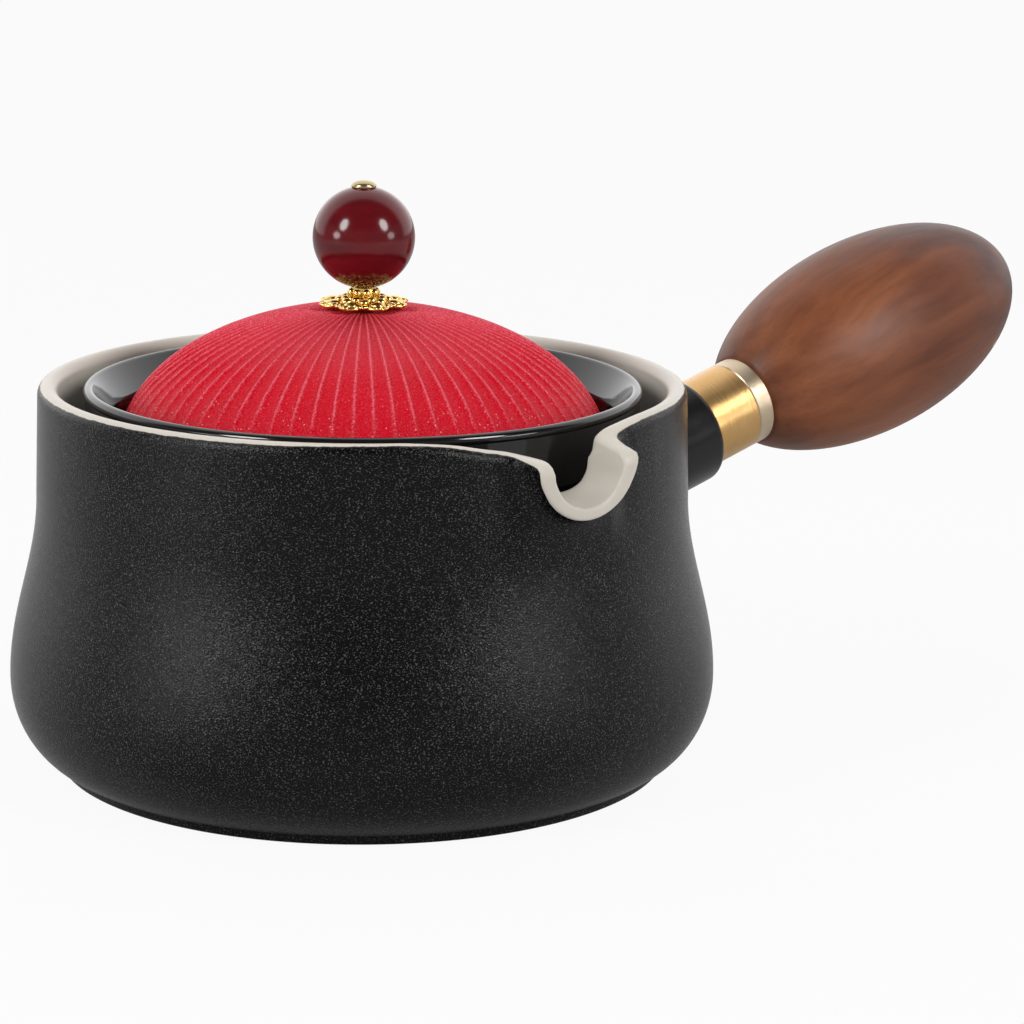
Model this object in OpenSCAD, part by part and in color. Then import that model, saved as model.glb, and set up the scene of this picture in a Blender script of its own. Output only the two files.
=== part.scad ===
// Side-handle teapot: a stoneware pot with a pinched spout, a drop-in infuser cup,
// a ribbed dome lid with a bead knob, and a turned wooden grip on a brass ferrule.
// Millimetres, +Z up. The origin is on the pot's axis at table level.
// The handle leaves towards +X and the spout pours towards -Y.

/* [Pot] */
// Height of the rim's crest above the table
pot_height = 53; // [48:0.5:64]
// Outer radius where the neck begins
neck_radius = 45; // [42:0.1:48]
// How far the neck draws in on its way up to the rim
neck_lean = 0.4; // [0:0.1:1.5]
// Height at which the belly has run out into the neck
neck_height = 38; // [30:0.5:40]
// Outer radius at the widest part of the belly
belly_radius = 49.1; // [47:0.1:54]
// Height of the widest part of the belly
belly_height = 12.3; // [10:0.1:16]
// How far the belly curves inwards below its widest part
belly_bulge = 9.1; // [6:0.1:12]
// Height at which the belly's curve would turn level underneath
belly_tuck = 0.6; // [0.2:0.1:0.9]
// Thickness of the stoneware wall
wall = 2.8; // [2.4:0.1:3.4]
// Height of the inside floor above the table
floor_height = 4; // [3:0.1:6]
// Outer radius of the foot ring
foot_radius = 42.6; // [40.5:0.1:43]
// Height of the foot ring below the belly
foot_height = 1; // [0.9:0.1:1.6]
// Width of the foot ring's resting face
foot_width = 3.8; // [2:0.1:8]
// Depth of the hollow inside the foot ring
foot_recess = 0.9; // [0.4:0.1:1.5]

/* [Spout] */
// Outer radius of the U-shaped pouring lip
spout_radius = 8.2; // [7:0.1:10]
// Thickness of the lip at its lowest point
spout_wall = 1.6; // [1.2:0.1:2.2]
// Thickness of the lip's flanks
spout_flank = 2.5; // [2:0.1:3]
// How far the lip stands out from the rim
spout_reach = 4.4; // [3:0.1:8]
// Depth of the channel's axis below the rim's crest
spout_drop = 2.5; // [2:0.1:4]
// How much the channel widens on its way out
spout_flare = 0.3; // [0.1:0.1:0.5]
// Rounding of the lip's edges
spout_edge = 0.5; // [0.2:0.05:0.6]
// Depth below the channel's axis at which the spout grows out of the wall
spout_root_drop = 13; // [11:0.5:16]
// Radius of the rounded root under the spout
spout_root_radius = 4.2; // [3:0.1:5]
// Length of the dip in the rim on both sides of the spout
saddle_width = 36; // [28:1:44]
// Depth of the dip in the rim
saddle_depth = 2.2; // [1.5:0.1:2.4]
// Outward slope of the dip
saddle_slope = 12; // [4:1:16]

/* [Handle stub] */
// Depth below the rim at which the handle's axis crosses the pot's axis
handle_drop = 31.5; // [30:0.5:35]
// Rise of the handle above level
handle_tilt = 16.2; // [8:0.1:18]
// Radius of the stub on the pot's side
stub_radius = 8.1; // [7.6:0.1:9]
// Distance of the stub's end from the pot's axis
stub_reach = 62.9; // [60:0.1:72]
// Rounding of the stub's end
stub_edge = 1.3; // [0.5:0.1:1.3]
// Extra radius of the stub where it grows out of the wall
stub_flare = 2; // [1:0.1:4]
// Length of that flare
stub_flare_length = 6; // [3:0.1:7]
// Radius of the bush in the stub's socket
bush_radius = 4.5; // [4:0.1:5]
// Length of the bush
bush_length = 12; // [8:0.1:13]
// Cement gap around the bush
cement_gap = 0.15; // [0.1:0.05:0.3]

/* [Handle] */
// Outer radius of the ferrule's sleeve and ring
ferrule_radius = 6.7; // [6.3:0.1:6.8]
// Wall of the sleeve and ring
ferrule_wall = 1.2; // [0.8:0.1:1.6]
// Length of the brass sleeve
sleeve_length = 8.3; // [6:0.1:14]
// Length of the pale ring
ring_length = 2.85; // [2:0.05:5]
// Groove that parts the sleeve from the ring
ring_groove = 0.15; // [0.1:0.05:0.3]
// Largest radius of the wooden grip
grip_radius = 15; // [12:0.1:18]
// Length of the wooden grip
grip_length = 56; // [50:0.5:80]
// Distance from the ring to the grip's widest place
grip_widest = 26.8; // [22:0.1:32]
// Radius of the stud inside the handle
stud_radius = 3; // [2.5:0.1:3.5]
// Length of the stud inside the wood
stud_in_grip = 20; // [12:0.5:30]
// Gap around the stud and around the tenon
handle_fit = 0.05; // [0.02:0.01:0.1]

/* [Infuser] */
// Gap between the infuser's lip and the pot's rim
lip_gap = 3.4; // [2.5:0.1:4]
// How far the lip stands out from the infuser's wall
lip_overhang = 0.3; // [0.2:0.1:0.8]
// Height of the lip
lip_height = 1.5; // [1.2:0.1:2.5]
// Depth of the lip's crest below the pot's rim
lip_below_rim = 0.4; // [0:0.1:2]
// Thickness of the infuser's wall
cup_wall = 1.9; // [1.6:0.1:2.3]
// Depth of the lid's seat below the lip's crest
seat_depth = 7.4; // [6:0.1:9]
// How far the flared collar narrows from the lip down to the seat
collar_taper = 2.2; // [1.6:0.1:2.6]
// Width of the seat
seat_width = 2.4; // [2.2:0.1:3.4]
// How far the cup narrows from the seat to the bottom
cup_taper = 4; // [2:0.1:7]
// Rounding where the cup's wall turns into its floor
cup_corner = 6; // [4:0.1:8]
// Thickness of the cup's floor
cup_floor = 2.2; // [1.8:0.1:3]
// Height of the cup's foot ring
cup_foot_height = 2.4; // [1.5:0.1:4]
// Outer radius of the cup's foot ring
cup_foot_radius = 22; // [18:0.1:24]
// Width of the cup's foot ring
cup_foot_width = 2.4; // [2:0.1:4]
// Width of the four drain gaps in the foot ring
drain_gap = 6; // [4:0.5:8]
// Diameter of the filter holes
filter_hole = 2; // [1.4:0.1:2.4]
// Distance between the rings of filter holes
filter_pitch = 5.5; // [4.5:0.1:6]
// Rings of filter holes around the middle one
filter_rings = 3; // [2:1:3]
// Filter holes around the wall
wall_holes = 24; // [12:2:30]

/* [Lid] */
// Gap between the lid's edge and the collar around it
lid_gap = 0.7; // [0.5:0.1:1.2]
// Height of the dome above the seat
dome_height = 17.9; // [14:0.1:24]
// How far the dome's curve has turned in below the seat
dome_sink = 2.4; // [1:0.1:5]
// Thickness of the dome
dome_wall = 2.6; // [2.4:0.1:3.4]
// Number of ridges around the dome
ridge_count = 70; // [48:1:84]
// Height of the ridges
ridge_height = 0.35; // [0.15:0.05:0.5]
// Radius at which the ridges start around the knob
ridge_start = 5; // [4:0.1:5.4]
// Gap between the lid's locating skirt and the infuser's seat
skirt_gap = 0.6; // [0.4:0.1:1]
// Depth of the locating skirt below the seat
skirt_depth = 3.5; // [2:0.1:6]
// Thickness of the locating skirt
skirt_wall = 2.2; // [1.8:0.1:3]

/* [Knob] */
// Diameter of the bead
bead_diameter = 14; // [10:0.1:18]
// Diameter of the pin
pin_diameter = 2; // [1.5:0.1:2.2]
// Gap around the pin
pin_gap = 0.1; // [0.05:0.05:0.2]
// Diameter of the pin's head
pin_head_diameter = 3.4; // [3:0.1:5]
// Height of the pin's head above the bead
pin_head_height = 0.8; // [0.6:0.1:1.6]
// Number of petals on the flower cap
petals = 8; // [6:1:9]
// Radius of the flower cap
flower_radius = 6.3; // [5.8:0.1:7.5]
// Thickness of the flower cap's metal
flower_metal = 0.6; // [0.4:0.05:0.8]
// Radius of the bead cup
bead_cup_radius = 2.8; // [2.3:0.1:3.4]
// Height of the bead's lowest point above the dome
bead_lift = 2.7; // [2:0.1:3.4]
// Radius of the washer under the lid
washer_radius = 3.6; // [3:0.1:4]
// Thickness of the washer
washer_thickness = 0.8; // [0.5:0.1:1.2]
// Width of the nut across its flats
nut_width = 4; // [3.6:0.1:5]
// Thickness of the nut
nut_thickness = 1.6; // [1.2:0.1:2.4]

/* [Hidden] */
$fn = 96;
// Overshoot that keeps a cutter clear of the face it leaves by
over = 1;

// Pot: places that other pieces depend on
rim_radius = neck_radius - neck_lean;
rim_round = wall / 2;
rim_inside = rim_radius - wall;
belly_middle = belly_radius - belly_bulge;

// Outer radius of the belly below its widest part
function belly_under(z) =
    belly_middle + belly_bulge
    * sqrt(max(0, 1 - pow((belly_height - z) / (belly_height - belly_tuck), 2)));

// Outer radius of the shoulder between the widest part and the neck
function shoulder(z) =
    neck_radius + (belly_radius - neck_radius)
    * (1 + cos(180 * (z - belly_height) / (neck_height - belly_height))) / 2;

// Heights spread evenly between two levels
function heights(low, high, steps) = [for (i = [0:steps]) low + (high - low) * i / steps];

// Points on an elliptic arc, angles counted from the +X direction
function elliptic(middle_r, middle_z, half_r, half_z, from, to, steps) =
    [for (i = [0:steps])
        let (a = from + (to - from) * i / steps)
        [middle_r + half_r * cos(a), middle_z + half_z * sin(a)]];

pot_outside = concat(
    [[0, 0], [foot_radius, 0], [foot_radius, foot_height]],
    [for (z = heights(foot_height, belly_height, 12)) [belly_under(z), z]],
    [for (z = heights(belly_height, neck_height, 14)) if (z > belly_height) [shoulder(z), z]],
    elliptic(rim_radius - rim_round, pot_height - rim_round, rim_round, rim_round, 0, 90, 5),
    [[0, pot_height]]
);
pot_inside = concat(
    [[0, floor_height]],
    elliptic(belly_middle, belly_height, belly_bulge - wall, belly_height - floor_height, -90, 0, 8),
    [for (z = heights(belly_height, neck_height, 14)) if (z > belly_height) [shoulder(z) - wall, z]],
    elliptic(rim_radius - rim_round, pot_height - rim_round, rim_round, rim_round, 180, 90, 5),
    [[rim_radius - rim_round, pot_height + over], [0, pot_height + over]]
);

// Spout: the channel's axis runs along -Y
spout_height = pot_height - spout_drop;
spout_lip = rim_radius + spout_reach;
channel_radius = spout_radius - spout_flank;
channel_height = spout_height - spout_radius + spout_wall + channel_radius;
saddle_radius = (pow(saddle_width / 2, 2) + pow(saddle_depth, 2)) / (2 * saddle_depth);
beak_inside = rim_inside - wall;

module along_spout(height) {
    translate([0, 0, height]) rotate([90, 0, 0]) children();
}

// The body of the spout, pulled out of the wall below the lip
module spout_outside() {
    hull() {
        along_spout(spout_height) translate([0, 0, beak_inside])
            cylinder(r = spout_radius, h = spout_lip - beak_inside - spout_edge, $fn = 64);
        along_spout(spout_height) translate([0, 0, beak_inside])
            cylinder(r = spout_radius - spout_edge, h = spout_lip - beak_inside, $fn = 64);
        translate([0, spout_root_radius + spout_wall / 2 - neck_radius, spout_height - spout_root_drop])
            sphere(r = spout_root_radius, $fn = 32);
    }
}

// The channel through wall and lip, with a rolled edge at the lip
module spout_channel() {
    along_spout(channel_height) rotate_extrude() polygon(concat(
        [[0, beak_inside - wall], [channel_radius - spout_flare, beak_inside - wall],
            [channel_radius - spout_flare, rim_inside]],
        elliptic(channel_radius + spout_edge, spout_lip - spout_edge, spout_edge, spout_edge, 180, 90, 4),
        [[channel_radius + spout_edge, spout_lip + over], [0, spout_lip + over]]
    ));
}

// Everything above the dipped rim around the spout
module saddle_cutter() {
    translate([0, -rim_radius, pot_height - saddle_depth])
        rotate([90 + saddle_slope, 0, 0])
            translate([0, saddle_radius, -rim_radius])
                cylinder(r = saddle_radius, h = rim_radius + spout_reach * 8, $fn = 180);
}

// Handle: every piece on it is drawn along the handle's axis
handle_height = pot_height - handle_drop;

module along_handle() {
    translate([0, 0, handle_height]) rotate([0, 90 - handle_tilt, 0]) children();
}
stub_start = rim_inside / cos(handle_tilt);
flare_start = belly_radius / cos(handle_tilt) - stub_flare;
socket_floor = stub_reach - bush_length - cement_gap;
sleeve_end = stub_reach + sleeve_length;
ring_end = sleeve_end + ring_length;
grip_end = ring_end + grip_length;
stud_end = ring_end + stud_in_grip;
tenon_radius = ferrule_radius - ferrule_wall - handle_fit;

module stub() {
    along_handle() rotate_extrude() polygon(concat(
        [[0, stub_start - wall], [stub_radius + stub_flare, stub_start - wall],
            [stub_radius + stub_flare, flare_start],
            [stub_radius, flare_start + stub_flare_length]],
        elliptic(stub_radius - stub_edge, stub_reach - stub_edge, stub_edge, stub_edge, 0, 90, 6),
        [[0, stub_reach]]
    ));
}

module pot_body() {
    color("#262425") difference() {
        union() {
            rotate_extrude() polygon(pot_outside);
            spout_outside();
            stub();
        }
        rotate_extrude() polygon(pot_inside);
        saddle_cutter_in_front();
        spout_channel();
        translate([0, 0, -over]) cylinder(r = foot_radius - foot_width, h = foot_recess + over);
        along_handle() translate([0, 0, socket_floor])
            cylinder(r = bush_radius + cement_gap, h = bush_length + cement_gap + over);
    }
}

// The dip, kept to the side of the pot that carries the spout
module saddle_cutter_in_front() {
    intersection() {
        saddle_cutter();
        translate([-saddle_width / 2, -spout_lip - over, pot_height - saddle_depth * 2 - spout_drop])
            cube([saddle_width, spout_lip + over - rim_inside / 2, pot_height]);
    }
}

// Infuser: stands on the pot's floor, with its lip level with the rim
lip_radius = rim_inside - lip_gap;
lip_top = pot_height - lip_below_rim;
collar_outside = lip_radius - lip_overhang;
collar_inside = lip_radius - lip_height;
seat_height = lip_top - seat_depth;
seat_outside = collar_inside - collar_taper;
seat_inside = seat_outside - seat_width;
cup_bottom = floor_height + cup_foot_height;
cup_base = cup_bottom + cup_floor;
cup_low_inside = seat_inside - cup_taper;
under_seat = seat_height - seat_width;
// Where the rolled lip's round starts above the wall outside, and runs out into the collar inside
lip_start = -acos(1 - 2 * lip_overhang / lip_height);
lip_end = 180 - atan(collar_taper / seat_depth);

module infuser() {
    color("#141416") difference() {
        rotate_extrude() polygon(concat(
            [[0, cup_bottom]],
            elliptic(cup_low_inside + cup_wall - cup_corner, cup_bottom + cup_corner,
                cup_corner, cup_corner, -90, 0, 6),
            [[seat_inside + cup_wall, under_seat - cup_wall],
                [collar_outside, seat_height - cup_wall / 2]],
            elliptic(lip_radius - lip_height / 2, lip_top - lip_height / 2,
                lip_height / 2, lip_height / 2, lip_start, lip_end, 14),
            [[seat_outside, seat_height], [seat_inside, seat_height], [seat_inside, under_seat]],
            elliptic(cup_low_inside - cup_corner + cup_floor, cup_base + cup_corner - cup_floor,
                cup_corner - cup_floor, cup_corner - cup_floor, 0, -90, 5),
            [[0, cup_base]]
        ));
        filter_holes();
    }
    color("#141416") cup_foot();
}

// Foot ring under the cup, with four gaps that let the tea drain out
module cup_foot() {
    difference() {
        translate([0, 0, floor_height]) cylinder(r = cup_foot_radius, h = cup_foot_height + cup_floor / 2);
        translate([0, 0, floor_height - over])
            cylinder(r = cup_foot_radius - cup_foot_width, h = cup_foot_height + over + cup_floor);
        for (turn = [0, 90])
            rotate([0, 0, turn])
                translate([-cup_foot_radius - over, -drain_gap / 2, floor_height - over])
                    cube([cup_foot_radius * 2 + over * 2, drain_gap, cup_foot_height + over]);
    }
}

// Rings of holes in the floor and one row around the lower wall
module filter_holes() {
    translate([0, 0, cup_bottom - over]) {
        cylinder(d = filter_hole, h = cup_floor + over * 2, $fn = 24);
        for (ring = [1:filter_rings])
            for (i = [0:ring * 6 - 1])
                rotate([0, 0, i * 60 / ring])
                    translate([ring * filter_pitch, 0, 0])
                        cylinder(d = filter_hole, h = cup_floor + over * 2, $fn = 24);
    }
    for (i = [0:wall_holes - 1])
        rotate([0, 0, (i + 0.5) * 360 / wall_holes])
            translate([cup_low_inside - cup_wall, 0, cup_bottom + cup_corner + filter_pitch])
                rotate([0, 90, 0]) cylinder(d = filter_hole, h = cup_wall * 4, $fn = 24);
}

// Lid: half an ellipse turned around the axis, resting on the infuser's seat
dome_middle = seat_height - dome_sink;
dome_rise = dome_height + dome_sink;
dome_top = seat_height + dome_height;
lid_edge = seat_outside - lid_gap;
dome_half = lid_edge / sqrt(1 - pow(dome_sink / dome_rise, 2)) - ridge_height;
skirt_outside = seat_inside - skirt_gap;
pin_hole = pin_diameter / 2 + pin_gap;
pad_bottom = dome_top - dome_wall - washer_thickness / 2;
function dome_z(r) = dome_middle + dome_rise * sqrt(1 - pow(r / dome_half, 2));

ring_steps = 12;
start_angle = acos(ridge_start / dome_half);
end_angle = asin(dome_sink / dome_rise);

// Point on the dome at a height angle, lifted along the curve's normal
function dome_point(angle, turn, lift) =
    let (r = dome_half * cos(angle), z = dome_rise * sin(angle),
        slope = [dome_rise * cos(angle), dome_half * sin(angle)],
        out = slope / norm(slope))
    [(r + lift * out[0]) * cos(turn), (r + lift * out[0]) * sin(turn), dome_middle + z + lift * out[1]];

// Ridged skin of the dome: two low points and one crest for every ridge, closed underneath
ridge_parts = [0, 0.5, 0.75];
around = ridge_count * 3;
skin_points = concat(
    [for (k = [0:ring_steps]) for (j = [0:around - 1])
        let (angle = start_angle + (end_angle - start_angle) * k / ring_steps,
            turn = (floor(j / 3) + ridge_parts[j % 3]) * 360 / ridge_count)
        dome_point(angle, turn, j % 3 == 2 && k > 0 ? ridge_height : 0)],
    [[0, 0, dome_middle + dome_rise * sin(start_angle)], [0, 0, seat_height]]
);
skin_faces = concat(
    [for (k = [0:ring_steps - 1]) for (j = [0:around - 1])
        let (a = k * around + j, b = k * around + (j + 1) % around)
        each [[a, b, b + around], [a, b + around, a + around]]],
    [for (j = [0:around - 1]) [len(skin_points) - 2, (j + 1) % around, j]],
    [for (j = [0:around - 1])
        [len(skin_points) - 1, ring_steps * around + j, ring_steps * around + (j + 1) % around]]
);

module lid() {
    color("#c8202c") difference() {
        union() {
            polyhedron(points = skin_points, faces = skin_faces);
            translate([0, 0, dome_z(ridge_start) - dome_wall / 2])
                cylinder(r = ridge_start, h = dome_wall / 2);
            translate([0, 0, seat_height - skirt_depth]) cylinder(r = skirt_outside, h = skirt_depth);
        }
        difference() {
            rotate_extrude() polygon(concat(
                [[0, seat_height - skirt_depth - over], [skirt_outside - skirt_wall, seat_height - skirt_depth - over]],
                elliptic(0, dome_middle, skirt_outside - skirt_wall, dome_rise - dome_wall,
                    asin(dome_sink / dome_rise), 90, 16)
            ));
            translate([0, 0, pad_bottom]) cylinder(r = washer_radius + pin_gap * 4, h = dome_wall);
        }
        translate([0, 0, seat_height]) cylinder(r = pin_hole, h = dome_height + over);
    }
}

// Knob: flower cap, bead cup, bead and pin, held by a washer and nut under the dome
bead_radius = bead_diameter / 2;
bead_middle = dome_top + bead_lift + bead_radius;
flower_under = dome_top + pin_gap;
cup_seat = bead_radius + pin_gap;
bead_cup_low = flower_under + flower_metal;

module flower_outline() {
    petal_radius = flower_radius * sin(180 / petals) / (1 + sin(180 / petals)) * 1.12;
    difference() {
        union() {
            circle(r = flower_radius - petal_radius * 1.2);
            for (i = [0:petals - 1])
                rotate(i * 360 / petals) translate([flower_radius - petal_radius, 0])
                    circle(r = petal_radius, $fn = 32);
        }
        circle(r = pin_hole);
        for (i = [0:petals - 1])
            rotate(i * 360 / petals) translate([flower_radius - petal_radius, 0])
                circle(r = petal_radius * 0.5, $fn = 24);
        for (i = [0:petals - 1])
            rotate((i + 0.5) * 360 / petals) translate([bead_cup_radius + flower_metal, 0])
                circle(r = flower_metal * 0.6, $fn = 24);
    }
}

// Stamped flower that follows the dome, with a grain of metal on every petal
module flower_cap() {
    grain = flower_metal * 0.7;
    drop = dome_top - dome_z(flower_radius);
    sag = (flower_radius * flower_radius + drop * drop) / (2 * drop);
    color("#d9a62e") union() {
        intersection() {
            translate([0, 0, flower_under - drop - over])
                linear_extrude(height = drop + flower_metal + over * 2) flower_outline();
            difference() {
                translate([0, 0, flower_under + flower_metal - sag]) sphere(r = sag, $fn = 180);
                translate([0, 0, flower_under - sag]) sphere(r = sag, $fn = 180);
            }
        }
        for (i = [0:petals - 1])
            rotate([0, 0, i * 360 / petals])
                translate([flower_radius - grain * 1.6, 0, flower_under + flower_metal - drop * 0.8])
                    sphere(r = grain, $fn = 32);
    }
}

// Beaded cup with a hollow that seats the bead
module bead_cup() {
    grain = bead_cup_radius * 0.24;
    body = bead_cup_radius - grain;
    seat_in = asin(pin_hole / cup_seat);
    seat_out = asin(body / cup_seat);
    color("#e0b040") union() {
        rotate_extrude() polygon(concat(
            [[pin_hole, bead_cup_low], [body, bead_cup_low]],
            [for (i = [0:4])
                let (a = seat_out + (seat_in - seat_out) * i / 4)
                [cup_seat * sin(a), bead_middle - cup_seat * cos(a)]]
        ));
        for (i = [0:petals - 1])
            rotate([0, 0, (i + 0.5) * 360 / petals])
                translate([body * 1.03, 0, bead_cup_low + grain * 1.2])
                    rotate([90, 0, 20]) sphere(r = grain, $fn = 32);
    }
}

module knob_bead() {
    color("#5e0d16") difference() {
        translate([0, 0, bead_middle]) sphere(r = bead_radius, $fn = 128);
        translate([0, 0, bead_middle - bead_radius - over]) cylinder(r = pin_hole, h = bead_diameter + over * 2);
    }
}

pin_top = bead_middle + bead_radius + pin_head_height;
head_under = bead_middle + sqrt(pow(bead_radius, 2) - pow(pin_head_diameter / 2, 2)) + pin_gap;
nut_bottom = pad_bottom - washer_thickness - nut_thickness;

// Headed pin, its head hollowed to the bead's curve
module knob_pin() {
    color("#c99a3c") union() {
        translate([0, 0, nut_bottom - pin_diameter / 2])
            cylinder(d = pin_diameter, h = pin_top - nut_bottom + pin_diameter / 2 - pin_head_height / 2);
        difference() {
            rotate_extrude() polygon(concat(
                [[0, head_under - pin_head_height / 2], [pin_head_diameter / 2, head_under - pin_head_height / 2]],
                elliptic(0, head_under, pin_head_diameter / 2, pin_top - head_under, 0, 90, 6)
            ));
            translate([0, 0, bead_middle]) sphere(r = cup_seat, $fn = 128);
        }
    }
}

module lid_washer() {
    color("#d8d5cc") translate([0, 0, pad_bottom - washer_thickness]) difference() {
        cylinder(r = washer_radius, h = washer_thickness);
        translate([0, 0, -over]) cylinder(r = pin_hole, h = washer_thickness + over * 2);
    }
}

module lid_nut() {
    color("#c99a3c") translate([0, 0, nut_bottom]) difference() {
        cylinder(d = nut_width / cos(30), h = nut_thickness, $fn = 6);
        translate([0, 0, -over]) cylinder(d = pin_diameter + pin_gap / 2, h = nut_thickness + over * 2);
    }
}

// Threaded bush with two grooves for the cement
module socket_bush() {
    groove = bush_length / 10;
    color("#b8923f") along_handle() translate([0, 0, stub_reach - bush_length]) difference() {
        cylinder(r = bush_radius, h = bush_length);
        translate([0, 0, -over]) cylinder(r = stud_radius + handle_fit, h = bush_length + over * 2);
        for (place = [0.3, 0.65])
            translate([0, 0, bush_length * place]) difference() {
                cylinder(r = bush_radius + over, h = groove);
                translate([0, 0, -over]) cylinder(r = bush_radius - groove / 3, h = groove + over * 2);
            }
    }
}

module handle_stud() {
    color("#9a9a9c") along_handle() translate([0, 0, stub_reach - bush_length])
        cylinder(r = stud_radius, h = stud_end - stub_reach + bush_length);
}

// Tube that carries the tenon, its outer edges broken by the groove's depth
module ferrule_tube(length) {
    rotate_extrude() polygon([
        [ferrule_radius - ferrule_wall, 0],
        [ferrule_radius - ring_groove, 0],
        [ferrule_radius, ring_groove],
        [ferrule_radius, length - ring_groove],
        [ferrule_radius - ring_groove, length],
        [ferrule_radius - ferrule_wall, length]
    ]);
}

module ferrule_sleeve() {
    color("#b98f45") along_handle() translate([0, 0, stub_reach]) ferrule_tube(sleeve_length);
}

module ferrule_ring() {
    color("#d6c3a4") along_handle() translate([0, 0, sleeve_end]) ferrule_tube(ring_length);
}

// Egg-shaped grip with a tenon through ring and sleeve
module handle_grip() {
    near_half = grip_widest / sqrt(1 - pow(ferrule_radius / grip_radius, 2));
    near_angle = asin(ferrule_radius / grip_radius);
    color("#6b4127") along_handle() difference() {
        rotate_extrude() polygon(concat(
            [[0, stub_reach], [tenon_radius, stub_reach], [tenon_radius, ring_end]],
            [for (i = [0:14])
                let (a = near_angle + (90 - near_angle) * i / 14)
                [grip_radius * sin(a), ring_end + grip_widest - near_half * cos(a)]],
            [for (i = [1:16])
                [grip_radius * cos(90 * i / 16),
                    ring_end + grip_widest + (grip_length - grip_widest) * sin(90 * i / 16)]]
        ));
        translate([0, 0, stub_reach - over])
            cylinder(r = stud_radius + handle_fit, h = stud_end - stub_reach + over + handle_fit);
    }
}

pot_body();
infuser();
lid();
flower_cap();
bead_cup();
knob_bead();
knob_pin();
lid_washer();
lid_nut();
socket_bush();
handle_stud();
ferrule_sleeve();
ferrule_ring();
handle_grip();
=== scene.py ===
"""Side-handle teapot: a black stoneware pot with a pinched spout, a glossy infuser, a ribbed red
lid with an agate bead, and a walnut grip on a brass ferrule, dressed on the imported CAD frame."""

import math

import bpy
import numpy as np
from mathutils import Matrix, Vector


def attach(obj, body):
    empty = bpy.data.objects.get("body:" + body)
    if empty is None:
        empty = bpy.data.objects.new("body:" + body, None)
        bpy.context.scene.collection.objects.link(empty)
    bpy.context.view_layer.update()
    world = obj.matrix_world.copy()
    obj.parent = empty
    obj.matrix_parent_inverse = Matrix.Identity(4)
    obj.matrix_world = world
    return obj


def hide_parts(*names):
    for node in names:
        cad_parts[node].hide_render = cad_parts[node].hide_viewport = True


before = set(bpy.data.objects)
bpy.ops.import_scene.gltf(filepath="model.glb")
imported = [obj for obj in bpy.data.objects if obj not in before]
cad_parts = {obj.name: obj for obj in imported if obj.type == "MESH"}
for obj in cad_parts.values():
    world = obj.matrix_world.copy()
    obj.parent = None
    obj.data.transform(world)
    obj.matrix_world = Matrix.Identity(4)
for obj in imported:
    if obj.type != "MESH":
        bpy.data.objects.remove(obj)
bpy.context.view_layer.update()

# Pot: stoneware thrown on a wheel, matte black outside and cream inside, with a trimmed foot
# ring. Its profile is drawn as a chain of edges and spun around the axis. The spout is pulled
# out of the soft rim afterwards, so the rounded rim runs on around the pouring lip.
mm = 0.001
belly_radius, belly_height, belly_bulge, belly_tuck = 49.1, 12.3, 9.1, 0.6
neck_radius, neck_height, neck_lean = 45.0, 38.0, 0.4
wall, pot_top, pot_floor = 2.8, 53.0, 4.0
rim_round = wall / 2
rim_seat = pot_top - rim_round
rim_middle = neck_radius - neck_lean - rim_round
foot_inside, foot_outside, foot_recess, foot_round = 38.8, 42.6, 0.9, 0.4
under_low, floor_ring = 1.15, 20.0


def pot_radius(z):
    """Outer radius of the pot at a height, in mm."""
    if z < belly_height:
        under = (belly_height - z) / (belly_height - belly_tuck)
        return belly_radius - belly_bulge * (1 - math.sqrt(max(0, 1 - under**2)))
    if z < neck_height:
        up = (z - belly_height) / (neck_height - belly_height)
        return neck_radius + (belly_radius - neck_radius) * (1 + math.cos(math.pi * up)) / 2
    return neck_radius - neck_lean * (z - neck_height) / (rim_seat - neck_height)


def between(low, high, steps):
    return [low + (high - low) * i / steps for i in range(steps + 1)]


def arc(middle_r, middle_z, half_r, half_z, start, end, steps):
    """Points on an elliptic arc of a profile, angles in degrees from outwards to up."""
    turns = [math.radians(a) for a in between(start, end, steps)]
    return [(middle_r + half_r * math.cos(a), middle_z + half_z * math.sin(a)) for a in turns]


def turned(name, profile, steps):
    """A piece on the wheel: a profile of (radius, height) in mm, spun around the Z axis."""
    bpy.ops.object.select_all(action="DESELECT")
    bpy.ops.mesh.primitive_plane_add(size=mm)
    piece = bpy.context.object
    piece.name = name
    bpy.ops.object.mode_set(mode="EDIT")
    bpy.ops.mesh.merge(type="CENTER")
    bpy.ops.transform.translate(value=(profile[0][0] * mm, 0, profile[0][1] * mm))
    for (r0, z0), (r1, z1) in zip(profile, profile[1:]):
        step = ((r1 - r0) * mm, 0, (z1 - z0) * mm)
        bpy.ops.mesh.extrude_region_move(TRANSFORM_OT_translate={"value": step})
    bpy.ops.mesh.select_all(action="SELECT")
    bpy.ops.mesh.spin(steps=steps, angle=math.tau, center=(0, 0, 0), axis=(0, 0, 1))
    bpy.ops.mesh.select_all(action="SELECT")
    bpy.ops.mesh.remove_doubles(threshold=0.002 * mm)
    bpy.ops.mesh.normals_make_consistent(inside=False)
    bpy.ops.object.mode_set(mode="OBJECT")
    bpy.ops.object.shade_smooth_by_angle(angle=math.radians(50))
    return piece


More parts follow.
